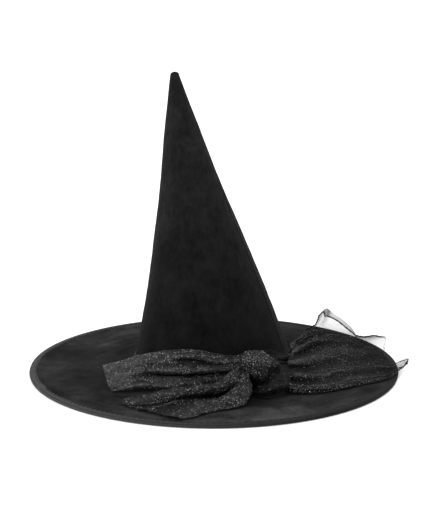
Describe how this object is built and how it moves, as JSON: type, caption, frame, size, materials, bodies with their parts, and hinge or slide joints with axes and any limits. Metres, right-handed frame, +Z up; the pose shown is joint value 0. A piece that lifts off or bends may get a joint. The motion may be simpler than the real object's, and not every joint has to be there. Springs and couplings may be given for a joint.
{
  "type": "witch hat",
  "caption": "Tall pointed hat with a leaning cone crown, a wide round bound brim, and a sheer speckled sash knotted at its foot.",
  "frame": {"origin": "centre of the head opening, in the plane that the brim rests on", "axes": "+Z up through the crown, +X towards the sheer end of the sash, -Y towards the knot side"},
  "size_m": [0.4434, 0.433, 0.367],
  "materials": {
    "velour": "soft black pile, matt",
    "felt": "stiff black felt",
    "binding": "black tape, slightly satin",
    "lining": "smooth black lining cloth",
    "sweatband": "black ribbed tape",
    "organza": "sheer black with silver specks",
    "thread": "spun thread",
    "wire": "bright drawn wire",
    "sleeve": "crimped, satin",
    "label": "white satin tape, blank"
  },
  "bodies": {
    "hat": {"brim_under_velour": "velour", "brim_stiffener": "felt", "brim_top_velour": "velour", "brim_binding": "binding", "binding_stitches": "thread", "brim_wire": "wire", "wire_sleeve": "sleeve", "crown_velour": "velour", "crown_stiffener": "felt", "crown_lining": "lining", "crown_seam_margins": "velour", "sweatband": "sweatband", "sweatband_stitches": "thread", "crown_base_stitches": "thread", "label_bar_tack": "thread", "sash_band": "organza", "sash_knot": "organza", "sash_tacks": "thread"},
    "upper_tail": {"sash_tail_upper": "organza"},
    "lower_tail": {"sash_tail_lower": "organza"},
    "sheer_tail": {"sash_tail_sheer": "organza"},
    "label": {"care_label": "label"}
  },
  "joints": [
    {"name": "upper_tail_lift", "type": "hinge", "parent": "hat", "child": "upper_tail", "pos_m": [0.028, -0.108, 0.0435], "axis": [0, 1, 0], "range_deg": [0, 70]},
    {"name": "lower_tail_lift", "type": "hinge", "parent": "hat", "child": "lower_tail", "pos_m": [0.038, -0.122, 0.014], "axis": [0, 1, 0], "range_deg": [0, 70]},
    {"name": "sheer_tail_lift", "type": "hinge", "parent": "hat", "child": "sheer_tail", "pos_m": [0.094, -0.09, 0.0285], "axis": [0, -1, 0], "range_deg": [0, 70]},
    {"name": "care_label_flip", "type": "hinge", "parent": "hat", "child": "label", "pos_m": [0.07732, -0.02512, 0.02925], "axis": [0.309, 0.9511, 0], "range_deg": [-10, 80]}
  ]
}
